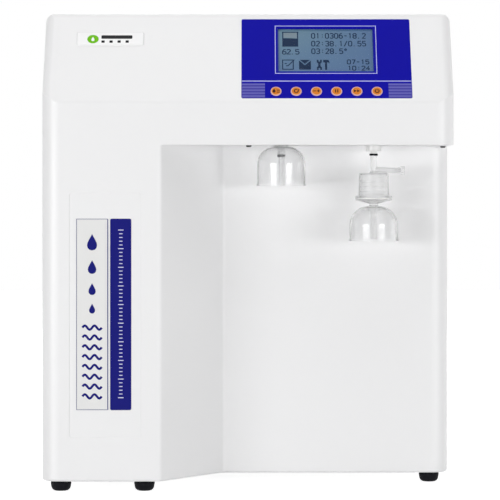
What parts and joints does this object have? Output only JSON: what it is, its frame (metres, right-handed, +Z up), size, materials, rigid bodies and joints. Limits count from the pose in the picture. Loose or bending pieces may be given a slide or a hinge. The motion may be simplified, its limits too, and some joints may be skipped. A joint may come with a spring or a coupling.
{
  "type": "ultrapure water system",
  "caption": "Bench-top ultrapure water cabinet with a left column, a recessed dispensing bay, two outlets with clear bells and a sloping control panel.",
  "frame": {"origin": "middle of the footprint, on the bench", "axes": "+Z up, +X to the right seen from the front, front faces -Y"},
  "size_m": [0.472, 0.494, 0.551],
  "materials": {
    "shell_white": "moulded, fine satin",
    "cover_white": "powder coat, fine orange peel",
    "panel_blue": "printed membrane overlay",
    "window_clear": "polished window",
    "display_dark": "liquid crystal display",
    "key_orange": "soft gloss key",
    "badge_white": "satin badge",
    "label_white": "printed film label",
    "clear_plastic": "clear moulded plastic",
    "white_plastic": "white moulded fitting",
    "black_rubber": "black rubber",
    "black_plastic": "black moulded plastic",
    "screw_black": "black oxide",
    "steel": "brushed steel",
    "frame_aluminium": "satin aluminium",
    "circuit_green": "solder mask",
    "bush_nylon": "nylon",
    "cartridge_white": "moulded cartridge",
    "cartridge_blue": "moulded cartridge",
    "membrane_white": "pleated membrane",
    "tube_natural": "polyethylene tube",
    "motor_dark": "painted can",
    "lamp_quartz": "quartz"
  },
  "bodies": {
    "cabinet": {"front_shell": "shell_white", "top_cover": "cover_white", "base_tray": "cover_white", "back_panel": "cover_white", "keypad_overlay": "panel_blue", "lcd_window": "window_clear", "lcd_module": "display_dark", "display_board": "circuit_green", "badge_plate": "badge_white", "side_label": "label_white", "left_outlet_nozzle": "clear_plastic", "left_outlet_bell": "clear_plastic", "right_outlet_nozzle": "white_plastic", "outlet_rings": "black_rubber", "outlet_nuts": "white_plastic", "filter_upper_housing": "clear_plastic", "filter_lower_housing": "clear_plastic", "filter_membrane": "membrane_white", "filter_bell": "clear_plastic", "cover_screws": "screw_black", "foot_screws": "steel", "rubber_feet": "black_rubber", "frame_posts": "frame_aluminium", "frame_rails": "frame_aluminium", "mounting_plate": "steel", "hinge_pins": "steel", "prefilter_manifold": "black_plastic", "polisher_manifold": "black_plastic", "ro_vessel": "cartridge_white", "ro_membrane": "membrane_white", "vessel_clips": "white_plastic", "pump_head": "black_plastic", "pump_motor": "motor_dark", "pump_bearings": "steel", "uv_chamber": "steel", "uv_lamp": "lamp_quartz", "power_supply": "frame_aluminium", "control_board": "circuit_green", "tank_valve": "black_plastic", "tube_ports": "white_plastic", "power_inlet": "black_plastic", "tubing": "tube_natural", "wiring": "black_rubber"},
    "left_door": {"left_door": "cover_white", "left_door_bushes": "bush_nylon"},
    "right_door": {"right_door": "cover_white", "right_door_bushes": "bush_nylon"},
    "vent_valve": {"vent_valve": "clear_plastic"},
    "power_rocker": {"power_rocker": "black_plastic"},
    "pump_rotor": {"pump_rotor": "steel"},
    "sediment_cartridge": {"sediment_cartridge": "cartridge_white"},
    "carbon_cartridge": {"carbon_cartridge": "cartridge_white"},
    "polishing_cartridge_1": {"polishing_cartridge_1": "cartridge_blue"},
    "polishing_cartridge_2": {"polishing_cartridge_2": "cartridge_blue"},
    "key_1": {"key_1": "key_orange"},
    "key_2": {"key_2": "key_orange"},
    "key_3": {"key_3": "key_orange"},
    "key_4": {"key_4": "key_orange"},
    "key_5": {"key_5": "key_orange"},
    "key_6": {"key_6": "key_orange"}
  },
  "joints": [
    {"name": "left_door_hinge", "type": "hinge", "parent": "cabinet", "child": "left_door", "pos_m": [-0.227, 0.2105, 0.27], "axis": [0, 0, -1], "range_deg": [0, 90]},
    {"name": "right_door_hinge", "type": "hinge", "parent": "cabinet", "child": "right_door", "pos_m": [0.227, 0.2105, 0.27], "axis": [0, 0, 1], "range_deg": [0, 90]},
    {"name": "vent_turn", "type": "hinge", "parent": "cabinet", "child": "vent_valve", "pos_m": [0.1769, -0.197, 0.3682], "axis": [1, 0, 0], "range_deg": [0, 270]},
    {"name": "power_switch", "type": "hinge", "parent": "cabinet", "child": "power_rocker", "pos_m": [0.15, 0.223, 0.088], "axis": [1, 0, 0], "range_deg": [0, 20]},
    {"name": "pump_spin", "type": "hinge", "parent": "cabinet", "child": "pump_rotor", "pos_m": [-0.15, 0.121, 0.0535], "axis": [0, 1, 0], "continuous": true},
    {"name": "sediment_cartridge_twist", "type": "hinge", "parent": "cabinet", "child": "sediment_cartridge", "pos_m": [-0.15, -0.047, 0.3], "axis": [0, 0, 1], "range_deg": [0, 90]},
    {"name": "carbon_cartridge_twist", "type": "hinge", "parent": "cabinet", "child": "carbon_cartridge", "pos_m": [-0.15, 0.029, 0.3], "axis": [0, 0, 1], "range_deg": [0, 90]},
    {"name": "polishing_cartridge_1_twist", "type": "hinge", "parent": "cabinet", "child": "polishing_cartridge_1", "pos_m": [0.14, -0.042, 0.3], "axis": [0, 0, 1], "range_deg": [0, 90]},
    {"name": "polishing_cartridge_2_twist", "type": "hinge", "parent": "cabinet", "child": "polishing_cartridge_2", "pos_m": [0.14, 0.05, 0.3], "axis": [0, 0, 1], "range_deg": [0, 90]},
    {"name": "key_1_press", "type": "slide", "parent": "cabinet", "child": "key_1", "axis": [0, 0.829, -0.5592], "range_m": [0, 0.0005], "stiffness_N_per_m": 1200, "springref_m": -0.0002},
    {"name": "key_2_press", "type": "slide", "parent": "cabinet", "child": "key_2", "axis": [0, 0.829, -0.5592], "range_m": [0, 0.0005], "stiffness_N_per_m": 1200, "springref_m": -0.0002},
    {"name": "key_3_press", "type": "slide", "parent": "cabinet", "child": "key_3", "axis": [0, 0.829, -0.5592], "range_m": [0, 0.0005], "stiffness_N_per_m": 1200, "springref_m": -0.0002},
    {"name": "key_4_press", "type": "slide", "parent": "cabinet", "child": "key_4", "axis": [0, 0.829, -0.5592], "range_m": [0, 0.0005], "stiffness_N_per_m": 1200, "springref_m": -0.0002},
    {"name": "key_5_press", "type": "slide", "parent": "cabinet", "child": "key_5", "axis": [0, 0.829, -0.5592], "range_m": [0, 0.0005], "stiffness_N_per_m": 1200, "springref_m": -0.0002},
    {"name": "key_6_press", "type": "slide", "parent": "cabinet", "child": "key_6", "axis": [0, 0.829, -0.5592], "range_m": [0, 0.0005], "stiffness_N_per_m": 1200, "springref_m": -0.0002}
  ]
}
